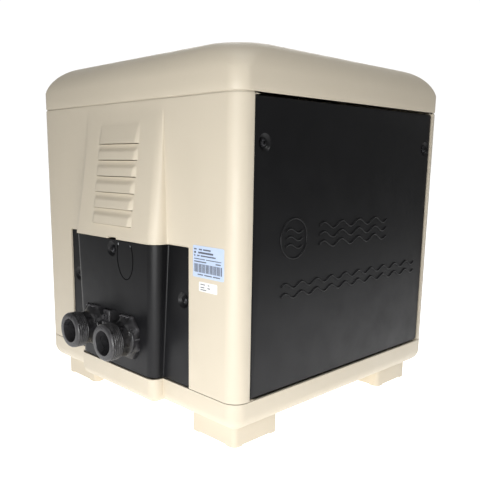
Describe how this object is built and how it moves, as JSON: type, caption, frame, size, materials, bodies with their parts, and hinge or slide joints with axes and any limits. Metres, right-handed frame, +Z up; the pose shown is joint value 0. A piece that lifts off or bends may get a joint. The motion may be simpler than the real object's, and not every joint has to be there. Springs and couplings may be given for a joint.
{
  "type": "pool and spa gas heater",
  "caption": "Square cream gas heater for pools and spas, with a black service panel, louvred side, threaded water stubs, flue and control panel under a flip cover.",
  "frame": {"origin": "middle of the whole object's plan box, at the floor", "axes": "+Z up, front service panel faces -Y, water stubs leave along -X, flue leaves along +Y, gas pipe enters along -X from the right"},
  "size_m": [0.635, 0.5696, 0.595],
  "materials": {
    "cream": "fine-grained moulded plastic, cream",
    "black_panel": "satin black",
    "header_plastic": "rough black glass-filled plastic",
    "screw_steel": "blackened steel",
    "sheet_steel": "galvanised sheet",
    "copper": "copper, slightly tarnished",
    "cast_metal": "die-cast, matt",
    "brass": "turned",
    "black_rubber": "black",
    "smoked_plastic": "smoked, polished",
    "key_plastic": "grey moulded",
    "motor_paint": "black paint",
    "board": "green board",
    "ceramic": "fired, off-white"
  },
  "bodies": {
    "cabinet": {"base_pan": "cream", "left_jacket": "cream", "right_jacket": "cream", "rear_panel": "cream", "top_lid": "cream", "plumbing_cover": "black_panel", "control_bezel": "black_panel", "vent_terminal": "black_panel", "header_manifold": "header_plastic", "bypass_cap": "header_plastic", "drain_plug": "header_plastic", "lid_screw_left": "screw_steel", "lid_screw_right": "screw_steel", "cover_screw_rear": "screw_steel", "cover_screw_front": "screw_steel", "cover_screw_top": "screw_steel", "upper_frame": "sheet_steel", "tube_sheet": "sheet_steel", "combustion_chamber": "sheet_steel", "chamber_lid": "sheet_steel", "chamber_stand": "sheet_steel", "flue_pipe": "sheet_steel", "junction_box": "sheet_steel", "junction_box_cover": "sheet_steel", "gas_inlet_pipe": "sheet_steel", "bypass_spring": "sheet_steel", "flip_cover_pin": "sheet_steel", "burner_flame_holder": "sheet_steel", "heat_exchanger_coil": "copper", "blower_scroll": "cast_metal", "blower_back_plate": "cast_metal", "gas_air_mixer": "cast_metal", "gas_valve": "cast_metal", "gas_supply_tube": "cast_metal", "pressure_switch": "cast_metal", "water_temperature_sensor": "brass", "gas_pipe_grommet": "black_rubber", "conduit_bushing": "black_rubber", "control_cable": "black_rubber", "igniter_lead": "black_rubber", "display_lens": "smoked_plastic", "blower_motor": "motor_paint", "transformer": "motor_paint", "control_board": "board", "ignition_module": "board", "igniter": "ceramic", "chamber_insulation": "ceramic"},
    "flip_cover_body": {"flip_cover": "smoked_plastic"},
    "service_panel": {"front_service_panel": "black_panel", "service_screw_left": "screw_steel", "service_screw_right": "screw_steel"},
    "pool_key_body": {"pool_key": "key_plastic"},
    "spa_key_body": {"spa_key": "key_plastic"},
    "off_key_body": {"off_key": "key_plastic"},
    "down_key_body": {"down_key": "key_plastic"},
    "up_key_body": {"up_key": "key_plastic"},
    "blower_rotor": {"blower_impeller": "motor_paint"},
    "gas_knob": {"gas_valve_knob": "key_plastic"},
    "pressure_dial_body": {"pressure_dial": "key_plastic"},
    "bypass_valve": {"bypass_poppet": "brass"}
  },
  "joints": [
    {"name": "flip_cover_hinge", "type": "hinge", "parent": "cabinet", "child": "flip_cover_body", "pos_m": [0.021, -0.06475, 0.5905], "axis": [-1, 0, 0], "range_deg": [0, 105]},
    {"name": "service_panel_tilt", "type": "hinge", "parent": "cabinet", "child": "service_panel", "pos_m": [0.021, -0.28255, 0.0818], "axis": [1, 0, 0], "range_deg": [0, 25]},
    {"name": "pool_key_press", "type": "slide", "parent": "cabinet", "child": "pool_key_body", "axis": [0, 0, -1], "range_m": [0, 0.0012], "stiffness_N_per_m": 400, "springref_m": -0.0008},
    {"name": "spa_key_press", "type": "slide", "parent": "cabinet", "child": "spa_key_body", "axis": [0, 0, -1], "range_m": [0, 0.0012], "stiffness_N_per_m": 400, "springref_m": -0.0008},
    {"name": "off_key_press", "type": "slide", "parent": "cabinet", "child": "off_key_body", "axis": [0, 0, -1], "range_m": [0, 0.0012], "stiffness_N_per_m": 400, "springref_m": -0.0008},
    {"name": "down_key_press", "type": "slide", "parent": "cabinet", "child": "down_key_body", "axis": [0, 0, -1], "range_m": [0, 0.0012], "stiffness_N_per_m": 400, "springref_m": -0.0008},
    {"name": "up_key_press", "type": "slide", "parent": "cabinet", "child": "up_key_body", "axis": [0, 0, -1], "range_m": [0, 0.0012], "stiffness_N_per_m": 400, "springref_m": -0.0008},
    {"name": "impeller_spin", "type": "hinge", "parent": "cabinet", "child": "blower_rotor", "pos_m": [-0.067, 0.02025, 0.425], "axis": [0, 1, 0], "continuous": true},
    {"name": "gas_knob_turn", "type": "hinge", "parent": "cabinet", "child": "gas_knob", "pos_m": [0.21, -0.16975, 0.263], "axis": [0, 0, 1], "range_deg": [0, 90]},
    {"name": "pressure_dial_turn", "type": "hinge", "parent": "cabinet", "child": "pressure_dial_body", "pos_m": [-0.2055, 0.05075, 0.234], "axis": [0, 0, 1], "range_deg": [-120, 120]},
    {"name": "bypass_lift", "type": "slide", "parent": "cabinet", "child": "bypass_valve", "axis": [0, 0, 1], "range_m": [0, 0.012], "stiffness_N_per_m": 350, "springref_m": -0.01, "deforming": ["bypass_spring"]}
  ]
}
